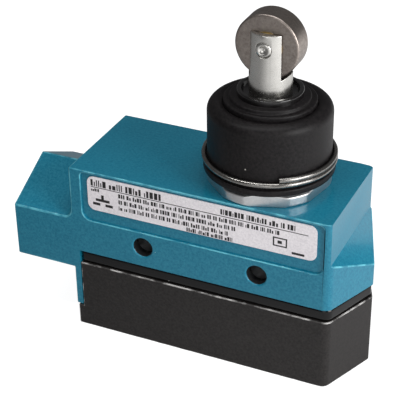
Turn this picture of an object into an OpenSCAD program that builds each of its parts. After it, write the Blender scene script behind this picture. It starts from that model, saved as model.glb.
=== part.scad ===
// Sealed limit switch with a top roller plunger.
// X runs along the housing, Y through its depth, Z up. The origin is the middle of the underside.

/* [Housing] */
// Length of the straight part of the housing
body_len = 57.4; // [54:0.2:60]
// Depth of the housing between its two flat faces
body_depth = 25.6; // [25.4:0.2:28]
// Height of the housing above the gasket
body_h = 19.9; // [19.6:0.1:21]
// How far the conduit hub stands out of the left end
hub_len = 14; // [10:0.1:16]
// How far the pointed right end stands out
nose_len = 5.1; // [5:0.1:6]
// Thickness of the housing's front and back walls
wall = 2; // [1.6:0.1:2.2]

/* [Cover] */
// Height of the bottom cover
cover_h = 16.1; // [14:0.1:18]
// Thickness of the gasket between cover and housing
gasket_h = 3; // [2:0.1:3.5]
// How far down the housing's end tab hangs over the cover
tab_drop = 14; // [10:0.5:14]

/* [Mounting] */
// Distance between the two mounting holes
hole_pitch = 25.4; // [25.4:0.1:25.8]
// Diameter of the mounting holes
hole_d = 4.3; // [4:0.1:4.4]
// Radius of the conduit entry's wall
conduit_r = 9.5; // [9:0.1:9.6]

/* [Actuator] */
// Distance from the right mounting hole back to the plunger's axis
plunger_back = 2.6; // [2:0.1:3]
// Diameter of the plunger
plunger_d = 8.6; // [8:0.1:8.6]
// Diameter of the roller
roller_d = 13.2; // [12.4:0.1:13.4]
// Width of the roller's rim
roller_w = 5; // [4.4:0.1:5.2]
// Height of the roller pin above the housing's top face
pin_rise = 29.6; // [29.5:0.1:30.5]
// Diameter of the roller pin
pin_d = 3.2; // [3:0.1:3.4]
// Full travel of the plunger
travel = 5.5; // [4:0.1:5.5]
// Diameter of the rubber boot
boot_d = 25; // [25:0.1:25.4]

/* [Hidden] */
$fn = 64;
eps = 0.01;
fit = 0.05; // radial clearance of a running fit

// Places along X
span = hub_len + body_len + nose_len;
x_hub = -span / 2;
x_left = x_hub + hub_len;
x_corner = x_left + body_len;
x_nose = x_corner + nose_len;
nose_tip_r = 1;
x_point = x_nose + nose_tip_r * (norm([nose_len, body_depth / 2]) / (body_depth / 2) - 1);
x_hole_l = x_left + 16.6;
x_hole_r = x_hole_l + hole_pitch;
x_axis = x_hole_r - plunger_back;

// Places across the depth and up the height
half = body_depth / 2;
z_seam = cover_h + gasket_h;
z_top = z_seam + body_h;
z_hole = z_seam + 4.5;
z_hub = z_hole - 2.9;
hole_r = hole_d / 2;

// Walls and cavity of the housing
roof = 2.5;
tab_t = 1.5;
pocket_t = 0.5;
end_wall = 1.8;
x_in_l = x_left + tab_t;
x_in_r = x_corner - end_wall;
y_in = half - wall;

// Hexagonal conduit hub
hub_flat = 6.1;
hub_peak = 12.6;

// Cover, its gasket and its screw
cover_gap = 0.1;
x_cover = x_in_l + cover_gap;
cover_end = 2;
floor_t = 2;
screw_x = x_corner + 0.9;
screw_r = 1.5;
screw_head_r = 3;

// Snap-action switch inside the housing
case_len = 49.2;
case_w = 17.4;
case_x = x_hole_l - 12.6;
case_z0 = z_seam - 1;
case_z1 = z_top - roof - 0.5;
case_t = 1.6;
case_in_l = case_x + case_t;
case_in_r = case_x + case_len - case_t;
case_in_y = case_w / 2 - case_t;
strip_t = 0.7;
pad_t = 0.8;
contact_r = 1.6;
blade_t = 0.3;
blade_z = z_hole + 6.9;
blade_x = case_in_l + 2.75;
contact_x = case_in_r - 2.25;
contact_h = 0.7;
button_stroke = 0.8;
contact_stroke = button_stroke * (contact_x - blade_x) / (x_axis - blade_x);
common_x = blade_x + 2;
closed_x = (x_hole_l + x_hole_r) / 2;
open_x = contact_x - 1.8;

// Actuator stack, from the switch button up to the roller
rod_r = plunger_d / 2;
thread_r = 8;
nut_flat = 11.9; // from its axis to a flat
nut_r = 12.6; // to its rounded corners
z_button = z_hole + 15.9;
z_nut = z_top + 3;
z_head = z_nut + 5.6;
z_neck = z_nut + 9.1;
z_chamber = z_nut + 4.6;
chamber_r = 6.8;
z_bush0 = z_top - roof - 0.2;
clip_t = 0.8;
z_clip = z_chamber - 0.1 - clip_t;
z_rod0 = z_clip - 0.6;
z_lug = z_top + 32.6;
z_pin = z_top + pin_rise;
slot_w = roller_w + 0.6;
slot_r = roller_d / 2 + 0.55;
bore_r = 2.6;
z_bore = z_top + 17.1;
push_r = 1.6;
z_push_head = z_rod0 + 1.1;

// Boot
boot_r = boot_d / 2;
z_shoulder = z_top + 17.5;
z_ring = z_nut + 2.2;
wire_r = 0.55;
ring_turns = 1.3;
collar_r = 6.6;
z_collar0 = z_top + 18;
z_collar1 = z_top + 20.2;
z_step = z_shoulder - 0.5;

function unit(v) = v / norm(v);

// Points that round the corner at b of the path a, b, c
function corner_arc(a, b, c, r, n = 6) =
    let (
        u = unit(a - b),
        v = unit(c - b),
        half_angle = acos(u * v) / 2,
        mid = b + unit(u + v) * r / sin(half_angle),
        from = b + u * r / tan(half_angle) - mid,
        to = b + v * r / tan(half_angle) - mid,
        a0 = atan2(from[1], from[0]),
        turn = atan2(to[1], to[0]) - a0,
        sweep = turn > 180 ? turn - 360 : turn < -180 ? turn + 360 : turn
    )
    [for (i = [0:n]) mid + r * [cos(a0 + sweep * i / n), sin(a0 + sweep * i / n)]];

// An outline whose corners are rounded, each by its own radius
function rounded(pts, radii) =
    let (n = len(pts))
    [for (i = [0:n - 1]) each
        radii[i] > 0
            ? corner_arc(pts[(i + n - 1) % n], pts[i], pts[(i + 1) % n], radii[i])
            : [pts[i]]];

// Plan of the housing, gasket and cover: square at the left, a shallow point at the right
function plan(left, inset, left_r = 0) =
    rounded(
        [[left, -half + inset], [x_corner, -half + inset], [x_point - inset, 0],
         [x_corner, half - inset], [left, half - inset]],
        [left_r, 2, nose_tip_r, 2, left_r]
    );

module plate(outline, z0, z1) translate([0, 0, z0]) linear_extrude(z1 - z0) polygon(outline);

module block(lo, hi) translate(lo) cube(hi - lo);

module post(x, y, r, z0, z1) translate([x, y, z0]) cylinder(r = r, h = z1 - z0);

// A solid or bore of revolution about an axis that runs along Y or X
module along_y(x, z, r, y0, y1) translate([x, y0, z]) rotate([-90, 0, 0]) cylinder(r = r, h = y1 - y0);
module along_x(z, r, x0, x1) translate([x0, 0, z]) rotate([0, 90, 0]) cylinder(r = r, h = x1 - x0);

// A ring turned about the plunger's axis from a profile of [radius, height] points
module turned(profile) translate([x_axis, 0, 0]) rotate_extrude() polygon(profile);

module washer(x, r_in, r_out, z0, z1) difference() {
    post(x, 0, r_out, z0, z1);
    post(x, 0, r_in, z0 - 1, z1 + 1);
}

// A round wire wound into a helix about the plunger's axis; z0 and z1 are its middle at the two ends
module coil(r, wire, z0, z1, turns, start = 0, steps = 14, sides = 6) {
    n = ceil(turns * steps);
    pts = [for (i = [0:n]) for (k = [0:sides - 1])
        let (a = start + 360 * turns * i / n, b = 360 * k / sides, rr = r + wire * cos(b))
        [x_axis + rr * cos(a), rr * sin(a), z0 + (z1 - z0) * i / n + wire * sin(b)]];
    sides_f = [for (i = [0:n - 1]) for (k = [0:sides - 1])
        let (k1 = (k + 1) % sides, a = i * sides, b = a + sides)
        [a + k, b + k, b + k1, a + k1]];
    polyhedron(
        points = pts,
        faces = concat(sides_f, [[for (k = [0:sides - 1]) k]], [[for (k = [sides - 1:-1:0]) n * sides + k]]),
        convexity = 10
    );
}

// Side outline of the housing: the roof of the nose slopes down and outwards
function side_outline() = [
    [x_left, z_seam], [x_nose + eps, z_seam], [x_nose + eps, z_seam + 5],
    [x_corner, z_seam + 10.5], [x_corner, z_top], [x_left, z_top]
];

module hub() rotate([90, 0, 90]) translate([0, 0, x_hub]) linear_extrude(hub_len + tab_t) polygon([
    [-half, z_hub - hub_flat], [0, z_hub - hub_peak], [half, z_hub - hub_flat],
    [half, z_hub + hub_flat], [0, z_hub + hub_peak], [-half, z_hub + hub_flat]
]);

module label_pocket() translate([0, -half + pocket_t, 0]) rotate([90, 0, 0]) linear_extrude(1) polygon(rounded(
    [[x_left + 2.7, z_hole + 3.6], [x_corner - 1.4, z_hole + 3.6],
     [x_corner - 1.4, z_top - 0.5], [x_left + 2.7, z_top - 0.5]], [2, 2, 1, 1]
));

module housing() color("teal") difference() {
    union() {
        intersection() {
            plate(plan(x_left, 0), z_seam, z_top);
            translate([0, half, 0]) rotate([90, 0, 0]) linear_extrude(body_depth) polygon(side_outline());
        }
        block([x_left, -half, z_seam - tab_drop], [x_in_l, half, z_seam + 1]);
        hub();
    }
    difference() {
        block([x_in_l, -y_in, z_seam - 1], [x_in_r, y_in, z_top - roof]);
        for (x = [x_hole_l, x_hole_r]) {
            along_y(x, z_hole, 4.2, -half + 1, -case_w / 2);
            along_y(x, z_hole, 4.2, case_w / 2, half - 1);
        }
    }
    for (x = [x_hole_l, x_hole_r]) {
        along_y(x, z_hole, hole_r, -half - 1, half + 1);
        along_y(x, z_hole, hole_r + 0.3, -half + 2.4, half + 1);
    }
    along_x(z_hub, conduit_r, x_hub - 1, x_in_l + 1);
    post(x_axis, 0, thread_r, z_top - roof - 1, z_top + 1);
    post(x_axis, 0, 9.6, z_top - 0.8, z_top + 1);
    post(screw_x, 0, screw_r, z_seam - 1, z_seam + 6);
    label_pocket();
}

module cover() color("dimgray") difference() {
    union() {
        plate(plan(x_cover, 0), 0, cover_h);
        block([x_left + 0.35, -half, 0], [x_cover + 1, half, z_seam - tab_drop - 0.2]);
    }
    block([x_cover + cover_end, -y_in, floor_t], [x_in_r - 0.5, y_in, cover_h + 1]);
    along_x(z_hub, conduit_r + 0.3, x_cover - 1, x_cover + cover_end + 1);
    post(screw_x, 0, screw_r + 0.2, -1, cover_h + 1);
    post(screw_x, 0, screw_head_r + 0.3, -1, 3.4);
}

module cover_gasket() color("black") difference() {
    plate(plan(x_cover, 0.35), cover_h, z_seam);
    block([x_cover + cover_end, -y_in, cover_h - 1], [x_in_r - 0.5, y_in, z_seam + 1]);
    along_x(z_hub, conduit_r + 0.3, x_cover - 1, x_cover + cover_end + 1);
    post(screw_x, 0, screw_r + 0.2, cover_h - 1, z_seam + 1);
}

module cover_screw() color("silver") difference() {
    union() {
        post(screw_x, 0, screw_head_r, 0.6, 3.4);
        post(screw_x, 0, screw_r, 3.4 - eps, z_seam + 5.5);
    }
    block([screw_x - screw_head_r - 1, -0.5, 0], [screw_x + screw_head_r + 1, 0.5, 1.8]);
}

module insulating_liner() color("tan") difference() {
    block([x_cover + cover_end + 0.5, -y_in, floor_t], [x_in_r - 2, y_in, cover_h - 0.6]);
    block([x_cover + cover_end, -y_in + 0.4, floor_t + 0.4], [x_in_r - 1, y_in - 0.4, cover_h]);
}

module nameplate() color("gainsboro") translate([0, -half + pocket_t, 0]) rotate([90, 0, 0]) linear_extrude(0.3)
    polygon(rounded(
        [[x_left + 4.2, z_hole + 6.4], [x_corner - 2.9, z_hole + 6.4],
         [x_corner - 2.9, z_top - 1], [x_left + 4.2, z_top - 1]], [1.6, 1.6, 1.6, 1.6]
    ));

module mounting_sleeves() color("silver") for (x = [x_hole_l, x_hole_r]) difference() {
    along_y(x, z_hole, hole_r + 0.3, -half + 2.4, half);
    along_y(x, z_hole, hole_r, -half, half + 1);
}

module case_columns(r) for (x = [x_hole_l, x_hole_r]) along_y(x, z_hole, r, -case_w / 2, case_w / 2);

module switch_case() color("saddlebrown") difference() {
    union() {
        difference() {
            block([case_x, -case_w / 2, case_z0], [case_x + case_len, case_w / 2, case_z1]);
            block([case_in_l, -case_in_y, case_z0 - 1], [case_in_r, case_in_y, case_z1 - case_t]);
        }
        case_columns(3.9);
    }
    case_columns(hole_r + 0.35);
    post(x_axis, 0, 1.6 + fit, case_z1 - case_t - 1, case_z1 + 1);
}

module terminal_slots(grow) {
    block([blade_x - strip_t / 2 - grow, -2.5 - grow, case_z0 - 1], [blade_x + strip_t / 2 + grow, 2.5 + grow, case_z0 + 3]);
    block([closed_x - 2 - grow, case_in_y - 1.3 - grow, case_z0 - 1], [closed_x + 2 + grow, case_in_y - 0.6 + grow, case_z0 + 3]);
    block([contact_x + 1.3 - grow, -2.5 - grow, case_z0 - 1], [contact_x + 1.3 + strip_t + grow, 2.5 + grow, case_z0 + 3]);
}

module switch_base() color("saddlebrown") difference() {
    union() {
        block([case_in_l, -case_in_y, case_z0], [case_in_r, case_in_y, case_z0 + case_t]);
        for (x = [(common_x + closed_x) / 2, (closed_x + open_x) / 2])
            block([x - 0.6, -case_in_y, case_z0 - 4], [x + 0.6, case_in_y, case_z0 + eps]);
    }
    case_columns(3.95);
    terminal_slots(0);
    for (x = [common_x, closed_x, open_x]) post(x, 0, screw_r, case_z0 - 1, case_z0 + 3);
    for (x = rivet_x()) post(x, 5.2, 0.8, case_z0 - 1, case_z0 + 3);
}

function rivet_x() = [common_x, open_x];

module case_rivets() color("goldenrod") for (x = rivet_x()) {
    post(x, 5.2, 1.4, case_z0 - 0.5, case_z0);
    post(x, 5.2, 0.8, case_z0 - 0.5, case_z0 + case_t + 0.4);
    post(x, 5.2, 1.4, case_z0 + case_t, case_z0 + case_t + 0.4);
}

// A screw pad under the base, drilled for its terminal screw
module terminal_pad(x, x0, x1, y0, y1) difference() {
    block([x0, y0, case_z0 - pad_t], [x1, y1, case_z0]);
    post(x, 0, screw_r, case_z0 - 2, case_z0 + 1);
}

module common_terminal() color("goldenrod") {
    terminal_pad(common_x, blade_x - strip_t / 2, common_x + 3.6, -3.8, 3.8);
    block([blade_x - strip_t / 2, -2.5, case_z0 - eps], [blade_x + strip_t / 2, 2.5, blade_z - 0.1]);
}

module closed_terminal() color("goldenrod") {
    y1 = case_in_y - 0.6;
    z1 = blade_z + blade_t + contact_h + 0.02 + 0.8;
    terminal_pad(closed_x, closed_x - 3.8, closed_x + 3.8, -3.8, y1);
    block([closed_x - 2, y1 - strip_t, case_z0 - eps], [closed_x + 2, y1, z1 + strip_t]);
    block([closed_x - 2, y1 - 2.4, z1], [contact_x + 1.8, y1, z1 + strip_t]);
    block([contact_x - 1.8, -1.8, z1], [contact_x + 1.8, y1, z1 + strip_t]);
}

module open_terminal() color("goldenrod") {
    z1 = blade_z - contact_h - contact_stroke - 0.06 - 0.8;
    x1 = contact_x + 1.3 + strip_t;
    terminal_pad(open_x, open_x - 3.6, x1, -3.8, 3.8);
    block([x1 - strip_t, -2.5, case_z0 - eps], [x1, 2.5, z1]);
    block([contact_x - 1.8, -2.5, z1 - strip_t], [x1, 2.5, z1]);
}

module fixed_contacts() color("whitesmoke") {
    z_closed = blade_z + blade_t + contact_h + 0.02;
    z_open = blade_z - contact_h - contact_stroke - 0.06 - 0.8;
    post(contact_x, 0, contact_r, z_closed, z_closed + 0.8);
    post(contact_x, 0, contact_r, z_open, z_open + 0.8);
}

module terminal_screws() color("goldenrod") for (x = [common_x, closed_x, open_x]) difference() {
    union() {
        post(x, 0, 2.8, case_z0 - pad_t - 2.6, case_z0 - pad_t - 0.6);
        post(x, 0, screw_r, case_z0 - pad_t - 0.6 - eps, case_z0 + case_t + 1.2);
    }
    block([x - 4, -0.4, case_z0 - pad_t - 4], [x + 4, 0.4, case_z0 - pad_t - 1.7]);
}

module terminal_washers() color("silver") for (x = [common_x, closed_x, open_x])
    washer(x, screw_r, 3.3, case_z0 - pad_t - 0.6, case_z0 - pad_t);

// The blade has a window, and a bowed tongue in the window that makes it snap
module snap_blade() color("peru") {
    x0 = blade_x + 9;
    x1 = blade_x + 22;
    difference() {
        block([blade_x - 0.7, -3, blade_z], [contact_x + 1.8, 3, blade_z + blade_t]);
        block([x0, -1.6, blade_z - 1], [x1, 1.6, blade_z + 1]);
        post(contact_x, 0, 0.8, blade_z - 1, blade_z + 1);
    }
    bow = 1.3;
    chord = x1 - x0;
    r = (chord * chord / 4 + bow * bow) / (2 * bow);
    half_angle = asin(chord / 2 / r);
    arc = [for (i = [-8:8]) half_angle * i / 8];
    mid = [(x0 + x1) / 2, blade_z + bow - r];
    translate([0, 1.2, 0]) rotate([90, 0, 0]) linear_extrude(2.4) polygon(concat(
        [for (a = arc) mid + (r + 0.15) * [sin(a), cos(a)]],
        [for (i = [16:-1:0]) mid + (r - 0.1) * [sin(arc[i]), cos(arc[i])]]
    ));
}

module moving_contact() color("whitesmoke") {
    post(contact_x, 0, contact_r, blade_z - contact_h, blade_z);
    post(contact_x, 0, 0.8, blade_z - eps, blade_z + blade_t + eps);
    post(contact_x, 0, contact_r, blade_z + blade_t, blade_z + blade_t + contact_h);
}

module switch_button() color("firebrick") {
    post(x_axis, 0, 1.6, case_z1 - case_t - 0.4, z_button);
    post(x_axis, 0, 2.4, case_z1 - case_t - 1.3, case_z1 - case_t - 0.1);
    post(x_axis, 0, 0.9, blade_z + blade_t + 0.02, case_z1 - case_t - 1.2);
}

module actuator_bushing() color("silver") turned([
    [thread_r, z_bush0], [thread_r, z_nut], [boot_r - 1.6, z_nut], [boot_r - 1.6, z_head],
    [7, z_head], [7, z_neck], [rod_r + fit, z_neck], [rod_r + fit, z_neck - 1],
    [6.15, z_neck - 1], [6.15, z_neck - 2.8], [rod_r + fit, z_neck - 2.8],
    [rod_r + fit, z_chamber], [chamber_r, z_chamber], [chamber_r, z_bush0]
]);

module bushing_nut() color("lightgray") difference() {
    intersection() {
        translate([x_axis, 0, z_top]) rotate(19) cylinder(r = nut_flat / cos(30), h = z_nut - z_top, $fn = 6);
        turned([[0, z_top], [nut_r - 0.3, z_top], [nut_r, z_top + 0.3], [nut_r, z_nut - 0.9],
            [nut_flat - 0.6, z_nut], [0, z_nut]]);
    }
    post(x_axis, 0, thread_r, z_top - 1, z_nut + 1);
}

module bushing_seal() color("black") washer(x_axis, thread_r, 9.6, z_top - 0.8, z_top);

module shaft_seal() color("black") translate([x_axis, 0, z_neck - 1.9]) rotate_extrude()
    translate([rod_r + fit + 0.87, 0]) circle(r = 0.85);

module spring_seat() color("silver") washer(x_axis, 4.6, chamber_r, z_bush0, z_bush0 + 0.6);

module return_spring() color("silver") coil(5.4, 0.3, z_bush0 + 0.92, z_clip - 0.32, 4.5);

// The boot grips the bushing's head, and its shoulder turns in towards the diaphragm
module boot() color("black") turned(concat(
    [[boot_r - 1.6, z_nut], [boot_r + 0.8, z_nut], [boot_r + 0.8, z_nut + 1.4], [boot_r, z_nut + 1.7],
     [boot_r, z_shoulder - 2]],
    [for (a = [15:15:90]) [boot_r - 2 + 2 * cos(a), z_shoulder - 2 + 2 * sin(a)]],
    [[9.3, z_shoulder], [9.3, z_shoulder - 1.5], [boot_r - 1.6, z_shoulder - 2.5]]
));

// Two rolled steps that fold as the plunger goes down
module boot_diaphragm() color("black") turned([
    [9.3, z_step], [9.3, z_step + 0.5], [9.1, z_step + 1.2], [8.3, z_step + 1.4], [8.1, z_step + 2],
    [7, z_step + 2.2], [collar_r, z_step + 2.2], [collar_r, z_step + 1.3], [7.3, z_step + 1.2],
    [7.6, z_step + 0.6], [8.5, z_step + 0.4], [8.7, z_step]
]);

module boot_collar() color("black") turned([
    [rod_r, z_collar0], [collar_r, z_collar0], [collar_r, z_collar1], [collar_r - 0.9, z_collar1],
    [collar_r - 1.2, z_collar1 - 1.2], [rod_r, z_collar1 - 1.2]
]);

// Clamp ring of spring wire, a little more than one turn, whose upper end points to the front right
module boot_ring() color("silver")
    coil(boot_r + wire_r + 0.05, wire_r, z_ring + 2.05 * wire_r * ring_turns, z_ring, ring_turns, -60, 60, 8);

// The slot for the roller has a hollow floor, as a round cutter leaves it
module plunger() color("silver") difference() {
    post(x_axis, 0, rod_r, z_rod0, z_lug);
    block([x_axis - 10, -slot_w / 2, z_pin], [x_axis + 10, slot_w / 2, z_lug + 1]);
    along_y(x_axis, z_pin, slot_r, -slot_w / 2, slot_w / 2);
    along_y(x_axis, z_pin, pin_d / 2, -10, 10);
    post(x_axis, 0, bore_r, z_rod0 - 1, z_bore);
    difference() {
        post(x_axis, 0, 10, z_clip, z_clip + clip_t);
        post(x_axis, 0, 3.7, z_clip - 1, z_clip + clip_t + 1);
    }
}

module plunger_clip() color("silver") washer(x_axis, 3.7, 6.3, z_clip, z_clip + clip_t);

module pusher() color("silver") {
    post(x_axis, 0, push_r, z_button + 0.03, z_push_head + eps);
    post(x_axis, 0, bore_r - 0.3, z_push_head, z_push_head + 1.4);
}

module pusher_retainer() color("silver") washer(x_axis, push_r + fit, bore_r, z_rod0, z_rod0 + 1);

module overtravel_spring() color("silver") coil(1.9, 0.25, z_push_head + 1.67, z_bore - 0.27, 5);

module roller() color("gray") difference() {
    union() {
        along_y(x_axis, z_pin, roller_d / 2 - 0.4, -roller_w / 2, roller_w / 2);
        along_y(x_axis, z_pin, roller_d / 2, -roller_w / 2 + 0.4, roller_w / 2 - 0.4);
        along_y(x_axis, z_pin, 3.6, -roller_w / 2 - 0.2, roller_w / 2 + 0.2);
    }
    along_y(x_axis, z_pin, pin_d / 2 + fit, -10, 10);
}

module roller_pin() color("silver") along_y(x_axis, z_pin, pin_d / 2, -rod_r, rod_r);

housing();
cover();
cover_gasket();
cover_screw();
insulating_liner();
nameplate();
mounting_sleeves();
switch_case();
switch_base();
case_rivets();
common_terminal();
closed_terminal();
open_terminal();
fixed_contacts();
terminal_screws();
terminal_washers();
snap_blade();
moving_contact();
switch_button();
actuator_bushing();
bushing_nut();
bushing_seal();
shaft_seal();
spring_seat();
return_spring();
boot();
boot_diaphragm();
boot_ring();
boot_collar();
plunger();
plunger_clip();
pusher();
pusher_retainer();
overtravel_spring();
roller();
roller_pin();
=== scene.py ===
# %% [markdown]
# # A limit switch with a sealed roller plunger
# The real switch is a cast, painted housing over a black cover. A snap switch sits inside, and a
# nut, a rubber boot and a steel plunger with a roller stand on top. The CAD model already holds
# every size and every joint, so this lesson only dresses it: sharp CAD pieces are exchanged for
# rounded ones in the same places, and each surface gets a finish made from nodes.

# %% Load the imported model
import math
import random

import bmesh
import bpy
from mathutils import Matrix, Vector


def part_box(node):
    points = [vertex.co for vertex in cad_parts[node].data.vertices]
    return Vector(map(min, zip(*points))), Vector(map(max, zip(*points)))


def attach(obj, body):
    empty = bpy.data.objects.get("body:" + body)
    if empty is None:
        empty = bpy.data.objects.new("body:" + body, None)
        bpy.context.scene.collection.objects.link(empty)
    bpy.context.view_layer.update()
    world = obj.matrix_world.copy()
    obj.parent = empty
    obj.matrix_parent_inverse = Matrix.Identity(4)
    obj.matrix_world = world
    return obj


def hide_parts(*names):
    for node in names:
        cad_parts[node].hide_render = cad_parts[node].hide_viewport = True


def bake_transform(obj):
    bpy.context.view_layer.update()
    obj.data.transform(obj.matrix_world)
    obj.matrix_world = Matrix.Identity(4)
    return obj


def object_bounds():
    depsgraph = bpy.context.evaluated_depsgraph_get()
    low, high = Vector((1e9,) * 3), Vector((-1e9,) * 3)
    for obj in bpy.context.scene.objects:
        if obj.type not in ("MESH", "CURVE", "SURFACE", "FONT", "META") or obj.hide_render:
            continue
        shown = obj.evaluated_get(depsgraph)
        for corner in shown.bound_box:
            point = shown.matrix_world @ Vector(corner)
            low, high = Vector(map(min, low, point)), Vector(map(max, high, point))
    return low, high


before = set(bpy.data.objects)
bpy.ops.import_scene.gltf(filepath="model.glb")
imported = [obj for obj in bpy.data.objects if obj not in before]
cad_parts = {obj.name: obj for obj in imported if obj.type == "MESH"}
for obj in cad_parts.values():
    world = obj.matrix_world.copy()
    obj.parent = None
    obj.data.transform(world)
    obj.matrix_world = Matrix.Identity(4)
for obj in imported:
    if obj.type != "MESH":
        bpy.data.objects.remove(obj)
cad_low, cad_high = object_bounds()
mm = 0.001
print("CAD box in mm:", [round(side / mm, 2) for side in cad_high - cad_low])

# %% [markdown]
# ## Camera
# A long lens from the front right and above flattens the switch a little, as in a catalogue.
# The camera is placed by the point it looks at, its distance and its two angles. A target
# constraint would do the same, but plain angles also allow the small roll of a hand-set tripod.

# %% Camera
look_at = Vector((-6.72, 13.65, 20.83)) * mm
camera_distance = 295.0 * mm
camera_azimuth = math.radians(25.063)
camera_height_angle = math.radians(30.944)
camera_roll = math.radians(-0.808)

camera_data = bpy.data.cameras.new("catalogue_camera")
camera_data.lens = 119.0
camera_data.sensor_width = 36.0
camera_data.clip_start = 0.01
camera_data.clip_end = 20.0
camera = bpy.data.objects.new("catalogue_camera", camera_data)
bpy.context.scene.collection.objects.link(camera)
bpy.context.scene.camera = camera
turn = Matrix.Rotation(camera_azimuth, 4, "Z")
tilt = Matrix.Rotation(math.pi / 2 - camera_height_angle, 4, "X")
roll = Matrix.Rotation(camera_roll, 4, "Z")
camera_turn = turn @ tilt @ roll
towards_camera = camera_turn @ Vector((0, 0, 1))
camera.matrix_world = Matrix.Translation(look_at + towards_camera * camera_distance) @ camera_turn
print("camera stands at", [round(value, 4) for value in camera.location])

# %% [markdown]
# ## Floor and light
# The switch stands on a pale sheet in a light tent. The strongest softbox stands at the right, so
# the end of the housing is brightest. A weak one in front and one above light the rest, and a
# narrow strip lamp high at the left gives rounded edges a thin line. The sheet glows too, more
# towards the right, because in a real tent light also comes through it and thins the shadow.

# %% Floor
def clear_selection():
    """Leaves nothing selected, so that the next operator touches only what it makes."""
    if bpy.context.object and bpy.context.object.mode != "OBJECT":
        bpy.ops.object.mode_set(mode="OBJECT")
    bpy.ops.object.select_all(action="DESELECT")


def linear(red, green, blue):
    """A screen colour of 0 to 255 as the linear colour that a shader wants (the sRGB curve)."""
    parts = [value / 255 for value in (red, green, blue)]
    parts = [p / 12.92 if p <= 0.04045 else ((p + 0.055) / 1.055) ** 2.4 for p in parts]
    return (*parts, 1.0)


clear_selection()
floor_size = 4.0
floor_gap = 0.00002
bpy.ops.mesh.primitive_plane_add(size=floor_size, location=(0, 0, cad_low.z - floor_gap))
tent_floor = bpy.context.object
tent_floor.name = "tent_floor"

# %% Softboxes and the tent's own glow
def add_softbox(name, place, aim, width, height, power):
    """A rectangular area light that looks at a point. Places and sizes are in metres."""
    light = bpy.data.lights.new(name, "AREA")
    light.shape = "RECTANGLE"
    light.size = width
    light.size_y = height
    light.energy = power
    softbox = bpy.data.objects.new(name, light)
    bpy.context.scene.collection.objects.link(softbox)
    softbox.location = place
    softbox.rotation_euler = (Vector(aim) - Vector(place)).to_track_quat("-Z", "Y").to_euler()


middle = (cad_low + cad_high) / 2
strip_aim = (-0.20, 0.0, 0.04)
add_softbox("right_softbox", (0.48, -0.14, 0.20), middle, width=0.30, height=0.34, power=2.25)
add_softbox("front_softbox", (0.10, -0.62, 0.17), middle, width=0.34, height=0.26, power=0.50)
add_softbox("top_softbox", (0.10, -0.04, 0.62), middle, width=0.34, height=0.34, power=1.15)
add_softbox("strip_lamp", (-0.20, -0.24, 0.62), strip_aim, width=0.34, height=0.03, power=0.95)

world = bpy.data.worlds.new("light_tent")
world.use_nodes = True
bpy.context.scene.world = world
tent = world.node_tree
tent.nodes["Background"].inputs["Color"].default_value = linear(250, 250, 252)
tent.nodes["Background"].inputs["Strength"].default_value = 0.12
tent_seen = tent.nodes.new("ShaderNodeBackground")
tent_seen.inputs["Color"].default_value = linear(252, 252, 252)
tent_path = tent.nodes.new("ShaderNodeLightPath")
tent_mix = tent.nodes.new("ShaderNodeMixShader")
tent.links.new(tent_path.outputs["Is Camera Ray"], tent_mix.inputs["Fac"])
tent.links.new(tent.nodes["Background"].outputs[0], tent_mix.inputs[1])
tent.links.new(tent_seen.outputs[0], tent_mix.inputs[2])
tent.links.new(tent_mix.outputs[0], tent.nodes["World Output"].inputs["Surface"])
bpy.context.scene.view_settings.view_transform = "Standard"

# %% [markdown]
# ## Effects shared by several finishes
# Cast paint, moulded rubber and turned steel all vary over their surface in a few ways: the colour
# comes out patchy, the skin has a fine relief, edges are lighter as a painted highlight and some
# wear, dust settles and on the paint also stands for painted glints, and a lathe leaves rings. Each
# of these is one node group, built once and placed with its own values. Painting them into every
# material by hand would work too, but then a change would have to be made many times.

# %% Tools for node groups
def new_effect(name, inputs, outputs):
    """A node group with its entry and exit nodes. Inputs are (title, socket kind, value) and
    outputs (title, kind)."""
    effect = bpy.data.node_groups.new(name, "ShaderNodeTree")
    for title, kind, value in inputs:
        socket = effect.interface.new_socket(title, in_out="INPUT", socket_type=kind)
        socket.default_value = value
    for title, kind in outputs:
        effect.interface.new_socket(title, in_out="OUTPUT", socket_type=kind)
    entry = effect.nodes.new("NodeGroupInput")
    leave = effect.nodes.new("NodeGroupOutput")
    return effect, entry, leave


def put(tree, kind, values=None, **settings):
    """A node with its settings, and its input values by socket name or number."""
    node = tree.nodes.new(kind)
    for setting, value in settings.items():
        setattr(node, setting, value)
    for socket, value in (values or {}).items():
        node.inputs[socket].default_value = value
    return node


NUMBER = "NodeSocketFloat"
COLOUR = "NodeSocketColor"
VECTOR = "NodeSocketVector"

# A Mix node keeps one set of sockets for numbers and one for colours, told apart by place.
MIX_FACTOR = 0
MIX_NUMBER_A = 2
MIX_NUMBER_B = 3
MIX_COLOUR_A = 6
MIX_COLOUR_B = 7
MIX_NUMBER_OUT = 0
MIX_COLOUR_OUT = 2

# %% Patchy tint: two colours mixed by a coarse and a fine noise
patchy_tint, entry, leave = new_effect(
    "Patchy tint",
    [("Main", COLOUR, (0.5, 0.5, 0.5, 1)), ("Patch", COLOUR, (0.3, 0.3, 0.3, 1)),
     ("Patches per metre", NUMBER, 150.0), ("Specks per metre", NUMBER, 2500.0),
     ("Speck share", NUMBER, 0.5)],
    [("Color", COLOUR), ("Mask", NUMBER)])
tree = patchy_tint
place = put(tree, "ShaderNodeTexCoord")
coarse = put(tree, "ShaderNodeTexNoise", {"Detail": 3.0})
fine = put(tree, "ShaderNodeTexNoise", {"Detail": 2.0, "Roughness": 0.7})
share = put(tree, "ShaderNodeMix", data_type="FLOAT")
spread = put(tree, "ShaderNodeMapRange", {"From Min": 0.34, "From Max": 0.66})
tint = put(tree, "ShaderNodeMix", data_type="RGBA")
tree.links.new(place.outputs["Object"], coarse.inputs["Vector"])
tree.links.new(place.outputs["Object"], fine.inputs["Vector"])
tree.links.new(entry.outputs["Patches per metre"], coarse.inputs["Scale"])
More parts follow.
